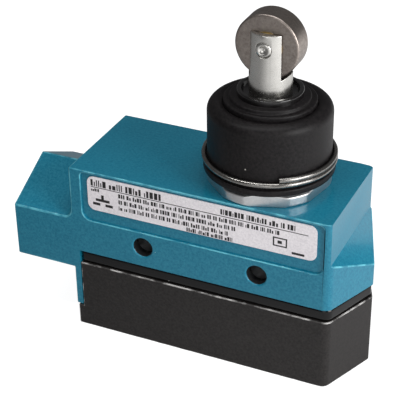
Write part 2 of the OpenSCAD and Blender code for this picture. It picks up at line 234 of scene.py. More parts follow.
tree.links.new(entry.outputs["Specks per metre"], fine.inputs["Scale"])
tree.links.new(entry.outputs["Speck share"], share.inputs[MIX_FACTOR])
tree.links.new(coarse.outputs["Fac"], share.inputs[MIX_NUMBER_A])
tree.links.new(fine.outputs["Fac"], share.inputs[MIX_NUMBER_B])
tree.links.new(share.outputs[MIX_NUMBER_OUT], spread.inputs["Value"])
tree.links.new(spread.outputs["Result"], tint.inputs[MIX_FACTOR])
tree.links.new(entry.outputs["Main"], tint.inputs[MIX_COLOUR_A])
tree.links.new(entry.outputs["Patch"], tint.inputs[MIX_COLOUR_B])
tree.links.new(tint.outputs[MIX_COLOUR_OUT], leave.inputs["Color"])
tree.links.new(spread.outputs["Result"], leave.inputs["Mask"])

# %% Fine relief: the skin of a casting or moulding, as a bumped normal
fine_relief, entry, leave = new_effect(
    "Fine relief",
    [("Bumps per metre", NUMBER, 1500.0), ("Depth", NUMBER, 0.00001)],
    [("Normal", VECTOR)])
tree = fine_relief
place = put(tree, "ShaderNodeTexCoord")
skin = put(tree, "ShaderNodeTexNoise", {"Detail": 4.0, "Roughness": 0.55})
bump = put(tree, "ShaderNodeBump", {"Strength": 1.0})
tree.links.new(place.outputs["Object"], skin.inputs["Vector"])
tree.links.new(entry.outputs["Bumps per metre"], skin.inputs["Scale"])
tree.links.new(skin.outputs["Fac"], bump.inputs["Height"])
tree.links.new(entry.outputs["Depth"], bump.inputs["Distance"])
tree.links.new(bump.outputs["Normal"], leave.inputs["Normal"])

# %% Edge highlight and wear: a mask that is 1 on the faces of a bevel, broken up by noise, where a finish paints a lighter colour as a highlight and some wear
edge_highlight_and_wear_mask, entry, leave = new_effect(
    "Edge highlight and wear",
    [("Broken", NUMBER, 0.5), ("Gaps per metre", NUMBER, 420.0)],
    [("Mask", NUMBER)])
tree = edge_highlight_and_wear_mask
bevelled = put(tree, "ShaderNodeAttribute", attribute_name="rounded")
place = put(tree, "ShaderNodeTexCoord")
gaps = put(tree, "ShaderNodeTexNoise", {"Detail": 3.0})
gap_range = put(tree, "ShaderNodeMapRange", {"From Min": 0.4, "From Max": 0.6})
gap_mix = put(tree, "ShaderNodeMix", {MIX_NUMBER_A: 1.0}, data_type="FLOAT")
both = put(tree, "ShaderNodeMath", operation="MULTIPLY")
tree.links.new(place.outputs["Object"], gaps.inputs["Vector"])
tree.links.new(entry.outputs["Gaps per metre"], gaps.inputs["Scale"])
tree.links.new(gaps.outputs["Fac"], gap_range.inputs["Value"])
tree.links.new(entry.outputs["Broken"], gap_mix.inputs[MIX_FACTOR])
tree.links.new(gap_range.outputs["Result"], gap_mix.inputs[MIX_NUMBER_B])
tree.links.new(bevelled.outputs["Fac"], both.inputs[0])
tree.links.new(gap_mix.outputs[MIX_NUMBER_OUT], both.inputs[1])
tree.links.new(both.outputs[0], leave.inputs["Mask"])

# %% Dust and glint specks: sparse small specks, the same on every side; on the paint they are painted glints as well as dust
dust_and_glint_specks, entry, leave = new_effect(
    "Dust and glint specks",
    [("Cells per metre", NUMBER, 500.0), ("Speck size", NUMBER, 0.12), ("Share", NUMBER, 0.2)],
    [("Mask", NUMBER)])
tree = dust_and_glint_specks
place = put(tree, "ShaderNodeTexCoord")
cells = put(tree, "ShaderNodeTexVoronoi")
small = put(tree, "ShaderNodeMath", operation="LESS_THAN")
split = put(tree, "ShaderNodeSeparateColor")
chosen = put(tree, "ShaderNodeMath", operation="LESS_THAN")
both = put(tree, "ShaderNodeMath", operation="MULTIPLY")
tree.links.new(place.outputs["Object"], cells.inputs["Vector"])
tree.links.new(entry.outputs["Cells per metre"], cells.inputs["Scale"])
tree.links.new(cells.outputs["Distance"], small.inputs[0])
tree.links.new(entry.outputs["Speck size"], small.inputs[1])
tree.links.new(cells.outputs["Color"], split.inputs["Color"])
tree.links.new(split.outputs["Red"], chosen.inputs[0])
tree.links.new(entry.outputs["Share"], chosen.inputs[1])
tree.links.new(small.outputs[0], both.inputs[0])
tree.links.new(chosen.outputs[0], both.inputs[1])
tree.links.new(both.outputs[0], leave.inputs["Mask"])

# %% Turning marks: rings round an axis and lines along it, as a lathe leaves them
turning_marks, entry, leave = new_effect(
    "Turning marks",
    [("Centre", VECTOR, (0, 0, 0)), ("Turn", VECTOR, (0, 0, 0)), ("Rings per metre", NUMBER, 4000.0),
     ("Depth", NUMBER, 0.000004)],
    [("Normal", VECTOR)])
tree = turning_marks
place = put(tree, "ShaderNodeTexCoord")
from_centre = put(tree, "ShaderNodeVectorMath", operation="SUBTRACT")
stood_up = put(tree, "ShaderNodeVectorRotate", rotation_type="EULER_XYZ")
parts = put(tree, "ShaderNodeSeparateXYZ")
flat = put(tree, "ShaderNodeCombineXYZ")
radius = put(tree, "ShaderNodeVectorMath", operation="LENGTH")
ring_place = put(tree, "ShaderNodeCombineXYZ")
rings = put(tree, "ShaderNodeTexNoise", {"Detail": 5.0, "Roughness": 0.75})
bump = put(tree, "ShaderNodeBump", {"Strength": 1.0})
tree.links.new(place.outputs["Object"], from_centre.inputs[0])
tree.links.new(entry.outputs["Centre"], from_centre.inputs[1])
tree.links.new(from_centre.outputs[0], stood_up.inputs["Vector"])
tree.links.new(entry.outputs["Turn"], stood_up.inputs["Rotation"])
tree.links.new(stood_up.outputs[0], parts.inputs[0])
tree.links.new(parts.outputs["X"], flat.inputs["X"])
tree.links.new(parts.outputs["Y"], flat.inputs["Y"])
tree.links.new(flat.outputs[0], radius.inputs[0])
tree.links.new(radius.outputs["Value"], ring_place.inputs["X"])
tree.links.new(parts.outputs["Z"], ring_place.inputs["Z"])
tree.links.new(ring_place.outputs[0], rings.inputs["Vector"])
tree.links.new(entry.outputs["Rings per metre"], rings.inputs["Scale"])
tree.links.new(rings.outputs["Fac"], bump.inputs["Height"])
tree.links.new(entry.outputs["Depth"], bump.inputs["Distance"])
tree.links.new(bump.outputs["Normal"], leave.inputs["Normal"])
print("effects:", [g.name for g in bpy.data.node_groups])

# %% [markdown]
# ## Finishes
# Every finish here is built the same way: a patchy colour, sometimes lighter on rounded edges as a
# painted highlight and some wear, with dust specks that on the paint are painted glints too, then a
# roughness that follows the patches, and a relief or turning marks for the skin. So one function
# wires a finish, and each finish below is a short list of its values.
# What is the same all over a surface, such as how metallic it is, is set on the shader itself.

# %% One function that wires a finish
def make_finish(name, main, patch, roughness, patches=150.0, specks=2500.0, speck_share=0.5,
                edge_highlight_and_wear=None, dust=None, relief=None, turning=None, metallic=0.0, **shader_values):
    """main and patch are linear colours and roughness is a pair. The edge argument is (colour,
    broken): a lighter colour on bevel faces that paints a highlight and some wear. The dust argument
    is (colour, cells per metre, speck size, share): specks of dust, and on the paint painted glints
    too. relief is (bumps per metre, depth), and turning (centre, turn, rings per metre, depth)."""
    finish = bpy.data.materials.new(name)
    finish.use_nodes = True
    finish.diffuse_color = main
    made = finish.node_tree
    shader = made.nodes["Principled BSDF"]
    shader.inputs["Metallic"].default_value = metallic
    for socket, value in shader_values.items():
        shader.inputs[socket.replace("_", " ")].default_value = value
    tint = put(made, "ShaderNodeGroup", node_tree=patchy_tint)
    tint.inputs["Main"].default_value = main
    tint.inputs["Patch"].default_value = patch
    tint.inputs["Patches per metre"].default_value = patches
    tint.inputs["Specks per metre"].default_value = specks
    tint.inputs["Speck share"].default_value = speck_share
    colour = tint.outputs["Color"]
    if edge_highlight_and_wear:
        edges = put(made, "ShaderNodeGroup", node_tree=edge_highlight_and_wear_mask)
        edges.inputs["Broken"].default_value = edge_highlight_and_wear[1]
        colour = mixed_over(made, colour, edge_highlight_and_wear[0], edges.outputs["Mask"])
    if dust:
        specks_on = put(made, "ShaderNodeGroup", node_tree=dust_and_glint_specks)
        specks_on.inputs["Cells per metre"].default_value = dust[1]
        specks_on.inputs["Speck size"].default_value = dust[2]
        specks_on.inputs["Share"].default_value = dust[3]
        colour = mixed_over(made, colour, dust[0], specks_on.outputs["Mask"])
    made.links.new(colour, shader.inputs["Base Color"])
    gloss = put(made, "ShaderNodeMapRange", {"To Min": roughness[0], "To Max": roughness[1]})
    made.links.new(tint.outputs["Mask"], gloss.inputs["Value"])
    made.links.new(gloss.outputs["Result"], shader.inputs["Roughness"])
    if relief:
        skin = put(made, "ShaderNodeGroup", node_tree=fine_relief)
        skin.inputs["Bumps per metre"].default_value = relief[0]
        skin.inputs["Depth"].default_value = relief[1]
        made.links.new(skin.outputs["Normal"], shader.inputs["Normal"])
    if turning:
        lathe = put(made, "ShaderNodeGroup", node_tree=turning_marks)
        lathe.inputs["Centre"].default_value = turning[0]
        lathe.inputs["Turn"].default_value = turning[1]
        lathe.inputs["Rings per metre"].default_value = turning[2]
        lathe.inputs["Depth"].default_value = turning[3]
        made.links.new(lathe.outputs["Normal"], shader.inputs["Normal"])
    return finish


def mixed_over(made, below, above, mask):
    """The colour below with another one laid over it where the mask is 1."""
    mix = put(made, "ShaderNodeMix", {MIX_COLOUR_B: above}, data_type="RGBA")
    made.links.new(mask, mix.inputs[MIX_FACTOR])
    made.links.new(below, mix.inputs[MIX_COLOUR_A])
    return mix.outputs[MIX_COLOUR_OUT]


# %% Paint, cover, seal and label
roller_low, roller_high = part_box("roller")
plunger_axis = Vector(((roller_low.x + roller_high.x) / 2, (roller_low.y + roller_high.y) / 2, 0))
roller_centre = (roller_low + roller_high) / 2
upright = (0, 0, 0)
lying = (math.pi / 2, 0, 0)

finishes = {}
# The lighter teal on the rounded edges is a painted highlight, and the pale cyan specks are painted
# glints as well as dust.
finishes["housing_paint"] = make_finish(
    "teal_casting_paint", linear(0, 111, 139), linear(34, 131, 157), (0.30, 0.38),
    patches=90, specks=1900, speck_share=0.85, edge_highlight_and_wear=(linear(96, 184, 202), 0.85),
    dust=(linear(150, 205, 215), 420, 0.07, 0.06), relief=(1700, 0.000014),
    Specular_IOR_Level=0.30, Coat_Weight=0.45, Coat_Roughness=0.10)
# The pale grey on the cover's rounded edges is a painted highlight: the thin bright line along them.
finishes["cover_finish"] = make_finish(
    "black_cover_enamel", linear(24, 21, 20), linear(44, 41, 40), (0.38, 0.46),
    patches=70, specks=1900, speck_share=0.85, edge_highlight_and_wear=(linear(190, 188, 186), 0.95),
    dust=(linear(120, 118, 115), 380, 0.06, 0.05), relief=(1800, 0.000006),
    Specular_IOR_Level=0.35)
finishes["gasket_rubber"] = make_finish(
    "black_seal_rubber", linear(4, 4, 5), linear(10, 10, 11), (0.07, 0.13),
    patches=160, specks=1500, dust=(linear(150, 150, 148), 500, 0.08, 0.10),
    relief=(700, 0.000006), Specular_IOR_Level=0.22, Coat_Weight=0.3, Coat_Roughness=0.05)
finishes["label_foil"] = make_finish(
    "pale_label_foil", linear(252, 247, 250), linear(230, 225, 229), (0.30, 0.38),
    patches=120, specks=2400, speck_share=0.8, relief=(2600, 0.000003))

# %% Rubber of the boot, its shinier collar, and a dark grey painted into the mounting holes as their shade
finishes["boot_rubber"] = make_finish(
    "black_boot_rubber", linear(9, 8, 9), linear(31, 28, 29), (0.42, 0.54),
    patches=110, specks=1900, speck_share=0.8, dust=(linear(175, 170, 165), 330, 0.055, 0.10),
    relief=(1500, 0.000007), Specular_IOR_Level=0.22)
painted_hole_shade = make_finish(
    "painted_hole_shade_grey", linear(38, 40, 42), linear(24, 26, 28), (0.45, 0.60),
    patches=400, specks=2400, relief=(1800, 0.00001))
shiny_rubber = make_finish(
    "worn_shiny_rubber", linear(7, 6, 6), linear(16, 13, 14), (0.16, 0.28),
    patches=260, specks=1900, dust=(linear(175, 170, 165), 330, 0.055, 0.14),
    relief=(1200, 0.000003), Specular_IOR_Level=0.40, Coat_Weight=0.6, Coat_Roughness=0.08)

# %% Bare metals
finishes["zinc_steel"] = make_finish(
    "zinc_plated_steel", linear(222, 223, 223), linear(196, 198, 200), (0.30, 0.46),
    patches=420, specks=3000, speck_share=0.35, metallic=1.0, relief=(2600, 0.00001),
    edge_highlight_and_wear=(linear(215, 216, 216), 0.6))
finishes["spring_wire"] = make_finish(
    "drawn_spring_wire", linear(168, 165, 160), linear(120, 118, 116), (0.18, 0.34),
    patches=500, specks=4000, metallic=1.0, relief=(3800, 0.000004))
finishes["bushing_metal"] = make_finish(
    "cast_bushing_zinc", linear(150, 150, 148), linear(118, 118, 116), (0.35, 0.50),
    metallic=1.0, turning=(plunger_axis, upright, 3500, 0.000006))
finishes["plunger_steel"] = make_finish(
    "ground_plunger_steel", linear(226, 224, 219), linear(206, 204, 199), (0.22, 0.32),
    patches=300, specks=5000, metallic=1.0, turning=(plunger_axis, upright, 5200, 0.000005))
finishes["roller_steel"] = make_finish(
    "turned_roller_steel", linear(182, 172, 164), linear(146, 136, 130), (0.30, 0.42),
    patches=380, specks=2200, speck_share=0.75, metallic=1.0,
    turning=(roller_centre, lying, 4200, 0.000008), edge_highlight_and_wear=(linear(215, 210, 200), 0.5))
finishes["brass_parts"] = make_finish(
    "stamped_brass", linear(184, 158, 104), linear(156, 132, 84), (0.26, 0.42),
    patches=200, specks=3000, metallic=1.0, relief=(2500, 0.000006))
finishes["contact_silver"] = make_finish(
    "contact_silver", linear(222, 220, 214), linear(176, 172, 164), (0.20, 0.38),
    patches=900, specks=5000, metallic=1.0, relief=(4000, 0.000003))
finishes["blade_copper"] = make_finish(
    "beryllium_copper", linear(205, 138, 96), linear(176, 110, 72), (0.22, 0.36),
    patches=300, specks=4000, metallic=1.0, relief=(3000, 0.000003))

# %% Mouldings and paper inside the housing
finishes["phenolic"] = make_finish(
    "brown_phenolic_moulding", linear(58, 40, 33), linear(42, 30, 26), (0.34, 0.48),
    patches=240, specks=4200, relief=(2200, 0.000012))
finishes["button_plastic"] = make_finish(
    "red_button_plastic", linear(140, 44, 34), linear(118, 34, 28), (0.30, 0.42),
    patches=500, specks=4200, relief=(2400, 0.00001))
finishes["liner_paper"] = make_finish(
    "grey_liner_paper", linear(120, 118, 112), linear(98, 96, 92), (0.70, 0.85),
    patches=400, specks=5200, relief=(5200, 0.00002))

# %% Ink, and the sheet: bright to the camera, and for the object a glow that grows to the right
print_ink = make_finish(
    "black_print_ink", linear(16, 14, 15), linear(34, 31, 33), (0.45, 0.60),
    patches=900, specks=5200, relief=(3000, 0.000004))
sheet_white = make_finish(
    "white_tent_sheet", linear(150, 150, 151), linear(146, 146, 147), (0.85, 0.90),
    patches=3, specks=40, Emission_Color=linear(255, 255, 255))
sheet = sheet_white.node_tree
sheet_path = put(sheet, "ShaderNodeLightPath")
sheet_glow = put(sheet, "ShaderNodeMapRange", {"To Max": 0.95})
sheet_place = put(sheet, "ShaderNodeTexCoord")
sheet_across = put(sheet, "ShaderNodeSeparateXYZ")
sheet_lit = put(sheet, "ShaderNodeMapRange",
                {"From Min": -0.06, "From Max": 0.12, "To Min": 0.03, "To Max": 0.74})
sheet_shader = sheet.nodes["Principled BSDF"]
sheet.links.new(sheet_place.outputs["Object"], sheet_across.inputs[0])
sheet.links.new(sheet_across.outputs["X"], sheet_lit.inputs["Value"])
sheet.links.new(sheet_lit.outputs[0], sheet_glow.inputs["To Min"])
sheet.links.new(sheet_path.outputs["Is Camera Ray"], sheet_glow.inputs["Value"])
sheet.links.new(sheet_glow.outputs[0], sheet_shader.inputs["Emission Strength"])
tent_floor.data.materials.append(sheet_white)
print("finishes:", len(finishes))

# %% [markdown]
# ## Tools for shaping
# Three ways of working cover nearly all pieces. A cast or moulded shape starts as a copy of its
# CAD mesh with corners merged and flat faces made whole, and its edges are then bevelled, because
# light runs along a rounded edge and dies on a sharp one. A turned shape is an outline spun round
# the axis. A wire is a curve with a thickness, made into a mesh. All three give plain meshes, so
# a piece can be shaded, given a finish and put on its body in the same way, whatever made it.

# %% Tools
# A piece's first material slot is for its own finish. In a copied piece the second one marks new
# bevel faces until they are put back in the first. A second slot may also hold another finish.
MAIN_SLOT = 0
SECOND_SLOT = 1
WELD = 0.000001
FLAT_ANGLE = math.radians(0.6)
SHARP_ANGLE = math.radians(30)


def work_on(piece, mode="OBJECT"):
    """Makes a piece the only selected and active one, in the wanted mode."""
    clear_selection()
    bpy.context.view_layer.objects.active = piece
    piece.select_set(True)
    bpy.ops.object.mode_set(mode=mode)


def copy_of_node(node, name):
    """A copy of a CAD node's mesh, with its corners merged and its flat faces whole."""
    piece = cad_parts[node].copy()
    piece.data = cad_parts[node].data.copy()
    for key in list(piece.keys()):
        del piece[key]
    piece.parent = None
    piece.name = name
    piece.data.name = name
    piece.data.materials.clear()
    piece.data.materials.append(None)
    piece.data.materials.append(None)
    bpy.context.scene.collection.objects.link(piece)
    work_on(piece, "EDIT")
    bpy.ops.mesh.select_all(action="SELECT")
    bpy.ops.mesh.remove_doubles(threshold=WELD)
    bpy.ops.mesh.dissolve_limited(angle_limit=FLAT_ANGLE)
    bpy.ops.object.mode_set(mode="OBJECT")
    return piece


def round_edges(piece, width, where=None, segments=3, slide=True, rubbed=True):
    """Bevels the sharp edges that pass the test where(start, end), two points in mm. Where the last
    flag is on, the new faces are marked, so that a finish can paint a lighter edge there as a
    highlight and some wear. Without slide the bevel keeps its width round a hole in a wide flat face."""
    work_on(piece, "EDIT")
    bpy.ops.mesh.select_mode(type="EDGE")
    bpy.ops.mesh.select_all(action="DESELECT")
    cage = bmesh.from_edit_mesh(piece.data)
    chosen = 0
    for edge in cage.edges:
        if len(edge.link_faces) == 2 and edge.calc_face_angle() > SHARP_ANGLE:
            start, end = (corner.co / mm for corner in edge.verts)
            if not where or where(start, end):
                edge.select_set(True)
                chosen += 1
    cage.select_flush_mode()
    bmesh.update_edit_mesh(piece.data)
    if chosen:
        bpy.ops.mesh.bevel(offset=width, segments=segments, profile=0.5, clamp_overlap=False,
                           loop_slide=slide, material=SECOND_SLOT)
    bpy.ops.object.mode_set(mode="OBJECT")
    rounded = piece.data.attributes.get("rounded")
    if not rounded:
        rounded = piece.data.attributes.new("rounded", "FLOAT", "FACE")
    for face in piece.data.polygons:
        if face.material_index == SECOND_SLOT:
            rounded.data[face.index].value = 1.0 if rubbed else 0.0
            face.material_index = MAIN_SLOT
    print(f"{piece.name}: rounded {chosen} edges by {width / mm:.2f} mm")


def finish_piece(piece, body, slot_name, *nodes, smooth_angle=35):
    """Shades a piece, gives it its slot's finish, and puts it on its body."""
    work_on(piece)
    bpy.ops.object.shade_smooth_by_angle(angle=math.radians(smooth_angle))
    evened = piece.modifiers.new("flat_faces_stay_flat", "WEIGHTED_NORMAL")
    evened.keep_sharp = True
    bpy.ops.object.modifier_apply(modifier=evened.name)
    if not any(piece.data.materials):
        piece.data.materials.clear()
        piece.data.materials.append(finishes[slot_name])
    if nodes:
        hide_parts(*nodes)
    if body:
        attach(piece, body)
    print(f"{piece.name}: {len(piece.data.polygons)} faces")


def arc(centre, radius, start, end, steps=5):
    """Outline points (across, up) in mm along an arc, its angles in degrees from straight out."""
    angles = [math.radians(start + (end - start) * i / steps) for i in range(steps + 1)]
    return [(centre[0] + radius * math.cos(a), centre[1] + radius * math.sin(a)) for a in angles]


def turned(name, outline, centre=plunger_axis, axis=(0, 0, 1), steps=96):
    """Spins a closed outline of (radius, height) points, in mm, once round an axis."""
    axis = Vector(axis)
    across = Vector((1, 0, 0))
    points = [centre + across * r * mm + axis * h * mm for r, h in outline]
    clear_selection()
    bpy.ops.mesh.primitive_plane_add(size=mm, location=points[0])
    piece = bpy.context.object
    piece.name = name
    piece.data.name = name
    bpy.ops.object.mode_set(mode="EDIT")
    bpy.ops.mesh.select_mode(type="VERT")
    bpy.ops.mesh.merge(type="CENTER")
    for here, there in zip(points, points[1:] + points[:1]):
        bpy.ops.mesh.extrude_region_move(TRANSFORM_OT_translate={"value": there - here})
    bpy.ops.mesh.select_all(action="SELECT")
    bpy.ops.mesh.spin(steps=steps, angle=2 * math.pi, center=centre, axis=axis)
    bpy.ops.mesh.select_all(action="SELECT")
    bpy.ops.mesh.remove_doubles(threshold=2 * WELD)
    bpy.ops.mesh.dissolve_degenerate(threshold=WELD)
    bpy.ops.mesh.select_all(action="SELECT")
    bpy.ops.mesh.normals_make_consistent(inside=False)
    bpy.ops.object.mode_set(mode="OBJECT")
    bpy.ops.object.transform_apply(location=True, rotation=True, scale=True)
    return piece


def wound(name, points, wire_radius, rings=6):
    """A round wire along points in metres, as a closed mesh."""
    line = bpy.data.curves.new(name, "CURVE")
    line.dimensions = "3D"
    line.bevel_depth = wire_radius
    line.bevel_resolution = rings
    line.use_fill_caps = True
    spline = line.splines.new("POLY")
    spline.points.add(len(points) - 1)
    for spot, point in zip(spline.points, points):
        spot.co = (*point, 1.0)
    piece = bpy.data.objects.new(name, line)
    bpy.context.scene.collection.objects.link(piece)
    work_on(piece)
    bpy.ops.object.convert(target="MESH")
    piece = bpy.context.object
    piece.data.name = name
    bpy.ops.object.mode_set(mode="EDIT")
    bpy.ops.mesh.select_all(action="SELECT")
    bpy.ops.mesh.remove_doubles(threshold=0.000001)
    bpy.ops.mesh.normals_make_consistent(inside=False)
    bpy.ops.object.mode_set(mode="OBJECT")
    return piece


def helix(radius, low, high, turns):
    """Points of a coil round the plunger's axis, in metres, flat for most of a turn at each end."""
    steps_per_turn = 40
    dead = 0.75
    steps = int(turns * steps_per_turn)
    points = []
    for i in range(steps + 1):
        t = i / steps * turns
        climb = min(max((t - dead) / (turns - 2 * dead), 0), 1)
        angle = 2 * math.pi * t
        points.append(plunger_axis + Vector((radius * mm * math.cos(angle),
                                             radius * mm * math.sin(angle),
                                             (low + (high - low) * climb) * mm)))
    return points

# %% [markdown]
# ## Housing
# The housing is one zinc die casting: a box with a pointed nose, a six-sided cable hub at the left,
# a thin tab that covers the end of the seal, a shallow pocket for the label and two mounting holes.
# It is beveled from its CAD mesh. Building the same box again from a cube would only risk a
# different size. Paint collects in the inner corner at the hub, so a wide fillet goes there first.
# Then the outer edges, the hole rims, the pocket's rim and the facet over the nose are rounded, in
# that order and each with its own width, because bevels that share a narrow strip would cross.

# %% Housing
# Places in mm. The ranges of the pocket, the cavity and the bore are wider than the shapes
# themselves by a small margin, so that their corners fall inside.
housing_low, housing_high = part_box("housing")
front_y = housing_low.y / mm
top_z = housing_high.z / mm
hub_x = housing_low.x / mm
body_left_x = -24.25
seam_z = 19.1
hole_xs = (-7.65, 17.75)
hole_z = 23.6
pocket_depth = 0.5
cavity_half_depth = 10.9
cavity_left_x = -22.8
cavity_right_x = 31.4
conduit_z = 20.7
conduit_reach = 9.6
conduit_end_x = -20
nut_reach = 10
nut_floor_z = 34
facet_x = 33.3
facet_start_x = 33.0
facet_low_z = 24.0
facet_corner_z = 29.6
TOUCHING = 0.02
NEARLY = 0.05


def in_hub_corner(start, end):
    """Where the hub's upper slopes meet the box."""
    return all(abs(p.x - body_left_x) < TOUCHING and 26.0 < p.z < 33.6 for p in (start, end))


def on_skin(p):
    """On the casting's outer skin, away from the cavity and from what the nut covers."""
    in_cavity = (abs(p.y) < cavity_half_depth and cavity_left_x < p.x < cavity_right_x
                 and p.z < top_z - 0.1)
    under_nut = math.hypot(p.x - plunger_axis.x / mm, p.y) < nut_reach and p.z > nut_floor_z
    in_bore = (math.hypot(p.y, p.z - conduit_z) < conduit_reach
               and hub_x + 0.1 < p.x < conduit_end_x)
    at_seam = abs(p.z - seam_z) < 0.1
    on_pocket_floor = abs(p.y - front_y - pocket_depth) < NEARLY
    return not (in_cavity or under_nut or in_bore or at_seam or on_pocket_floor)


def on_pocket_rim(start, end):
    """The front edge of the label pocket's wall."""
    return all(abs(p.y - front_y) < TOUCHING and -21.7 < p.x < 31.9 and 27.1 < p.z < 38.6
               for p in (start, end))


def on_hole_rim(start, end):
    """The front rims of the two mounting holes."""
    return all(abs(p.y - front_y) < TOUCHING and abs(p.x) < 25 and abs(p.z - hole_z) < 2.3
               for p in (start, end))


def at_nose_facet(start, end):
    """Round the sloping facet over the nose."""
    high_enough = min(start.x, end.x) > facet_start_x and start.z > facet_low_z
    return on_skin(start) and on_skin(end) and high_enough


def on_housing_outside(start, end):
    """Any other outer edge of the casting."""
    own_pass = on_pocket_rim(start, end) or on_hole_rim(start, end)
    level = all(abs(p.z - facet_corner_z) < NEARLY for p in (start, end))
    on_facet = max(start.x, end.x) > facet_x or level
    return on_skin(start) and on_skin(end) and not on_facet and not own_pass


housing_casting = copy_of_node("housing", "housing_casting")
round_edges(housing_casting, 1.8 * mm, in_hub_corner, segments=6, rubbed=False)
round_edges(housing_casting, 0.28 * mm, on_housing_outside)
round_edges(housing_casting, 0.40 * mm, on_hole_rim, segments=4, slide=False, rubbed=False)
round_edges(housing_casting, 0.20 * mm, on_pocket_rim, slide=False)
round_edges(housing_casting, 0.20 * mm, at_nose_facet)
housing_casting.data.materials[MAIN_SLOT] = finishes["housing_paint"]
# The walls of the two mounting holes take a dark grey: painted shade inside the holes.
housing_casting.data.materials[SECOND_SLOT] = painted_hole_shade
bore_reach = 2.3
bore_half_depth = 12.5
for face in housing_casting.data.polygons:
    spot = face.center / mm
    reach = min(math.hypot(spot.x - hole_x, spot.z - hole_z) for hole_x in hole_xs)
    if reach < bore_reach and abs(spot.y) < bore_half_depth:
        face.material_index = SECOND_SLOT
finish_piece(housing_casting, "housing", "housing_paint", "housing")

# %% [markdown]
# ## Cover and its seal
# The cover is a black enamelled cup held from below by one screw, and a rubber seal is squeezed
# between it and the housing, so the seal bulges outwards. Both are beveled copies of their CAD
# meshes. The seal's bevels are wide, over a quarter of its height at its top and again at its
# bottom, which turns its straight wall into that bulge. A turned profile wouldn't go round its
# corners.

# %% Cover, seal and cover screw
def at_cover_wall(p):
    """On the outer wall of the cover or of its seal."""
    return abs(p.y) > cavity_half_depth or p.x < -22.0 or p.x > 31.5


def on_cover_outside(start, end):
    """An edge of the cover's outer wall or of its underside."""
    return all(at_cover_wall(p) or p.z < TOUCHING for p in (start, end))


cover_shell = copy_of_node("cover", "cover_shell")
round_edges(cover_shell, 0.24 * mm, on_cover_outside)
finish_piece(cover_shell, "housing", "cover_finish", "cover")

seal_band = copy_of_node("cover_gasket", "seal_band")
round_edges(seal_band, 0.85 * mm, lambda a, b: at_cover_wall(a) and at_cover_wall(b), segments=5)
finish_piece(seal_band, "housing", "gasket_rubber", "cover_gasket")

screw_head = copy_of_node("cover_screw", "screw_head")
round_edges(screw_head, 0.15 * mm)
finish_piece(screw_head, "housing", "zinc_steel", "cover_screw")

# %% [markdown]
# ## Label
# The label is a thin foil plate glued into the pocket. Its print is a plain rule, rows of upright
# bars in a few sizes, a contact symbol (a bridge over two terminals), a boxed dot and a short bar.
# The bars only give the texture of small print: they spell nothing. A print could be a picture on
# the foil, but marks with a real edge stay sharp at any distance and follow every export.

# %% Label plate
plate_low, plate_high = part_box("nameplate")
label_plate = copy_of_node("nameplate", "label_plate")
round_edges(label_plate, 0.06 * mm, segments=2)
finish_piece(label_plate, "housing", "label_foil", "nameplate")

# %% Print on the label
ink_depth = 0.012 * mm
print_y = plate_low.y - ink_depth
print_left = plate_low.x / mm
print_top = plate_high.z / mm
print_parts = []
marks = random.Random(7)
bar_levels = 6
bar_widths = (1, 2, 2, 3)
bar_heights = (4, 6, 6, 6)


def print_block(left, top, width, height, columns=2, rows=1):
    """A solid rectangle of ink, placed in mm from the plate's top left corner."""
    clear_selection()
    spot = (print_left + left + width / 2, print_y / mm, print_top - top - height / 2)
    bpy.ops.mesh.primitive_grid_add(x_subdivisions=columns, y_subdivisions=rows, size=1,
                                    location=Vector(spot) * mm, rotation=(math.pi / 2, 0, 0))
    block = bpy.context.object
    block.scale = (width * mm, height * mm, 1)
    bpy.ops.object.transform_apply(location=True, rotation=True, scale=True)
    print_parts.append(block)
    return block


def print_row(left, top, width, height, word_lengths):
    """A row of plain upright bars in words: a fine grid with some of its cells taken out."""
    cell = height / bar_levels
    columns = int(width / cell)
    row = print_block(left, top, columns * cell, height, columns, bar_levels)
    kept = set()
    column = 0
    while column < columns - max(bar_widths):
        for _ in range(marks.choice(word_lengths)):
            thick = marks.choice(bar_widths)
            tall = marks.choice(bar_heights)
            for step in range(thick):
                kept.update((column + step, level) for level in range(tall))
            column += thick + 1
        column += 2
    edge = print_left + left
    floor = print_top - top - height
    work_on(row, "EDIT")
    bpy.ops.mesh.select_mode(type="FACE")
    bpy.ops.object.mode_set(mode="OBJECT")
    for face in row.data.polygons:
        spot = face.center / mm
        place = (int((spot.x - edge) / cell), int((spot.z - floor) / cell))
        face.select = place not in kept
    work_on(row, "EDIT")
    bpy.ops.mesh.delete(type="FACE")
    bpy.ops.object.mode_set(mode="OBJECT")


print_row(0.9, 0.65, 17.5, 1.50, (5, 6))
print_block(0.9, 2.32, 47.6, 0.16)
print_row(30.0, 0.80, 17.0, 1.20, (8, 2, 3))
for number, length in enumerate((35.5, 26.0, 24.5)):
    print_row(7.2, 2.80 + 1.45 * number, length, 0.95, (3, 4, 2, 3))
print_row(22.5, 6.95, 10.2, 0.90, (6, 5))
print_row(0.9, 2.70, 2.6, 0.70, (5,))

# Blocks as (left, top, width, height).
contact_symbol = ((1.2, 6.0, 1.7, 0.6), (4.1, 6.0, 1.7, 0.6), (1.9, 5.0, 3.2, 0.6),
                  (3.2, 4.0, 0.6, 1.1))
boxed_symbol = ((41.2, 4.3, 2.9, 0.28), (41.2, 6.1, 2.9, 0.28), (41.2, 4.3, 0.28, 2.0),
                (43.9, 4.3, 0.28, 2.0), (42.2, 5.0, 0.9, 0.7), (45.2, 6.9, 2.6, 0.5))
for left, top, width, height in contact_symbol + boxed_symbol:
    print_block(left, top, width, height)
clear_selection()
for part in print_parts:
    part.select_set(True)
bpy.context.view_layer.objects.active = print_parts[0]
bpy.ops.object.join()
label_print = bpy.context.object
label_print.name = "label_print"
work_on(label_print, "EDIT")
bpy.ops.mesh.select_all(action="SELECT")
bpy.ops.mesh.remove_doubles(threshold=WELD)
bpy.ops.object.mode_set(mode="OBJECT")
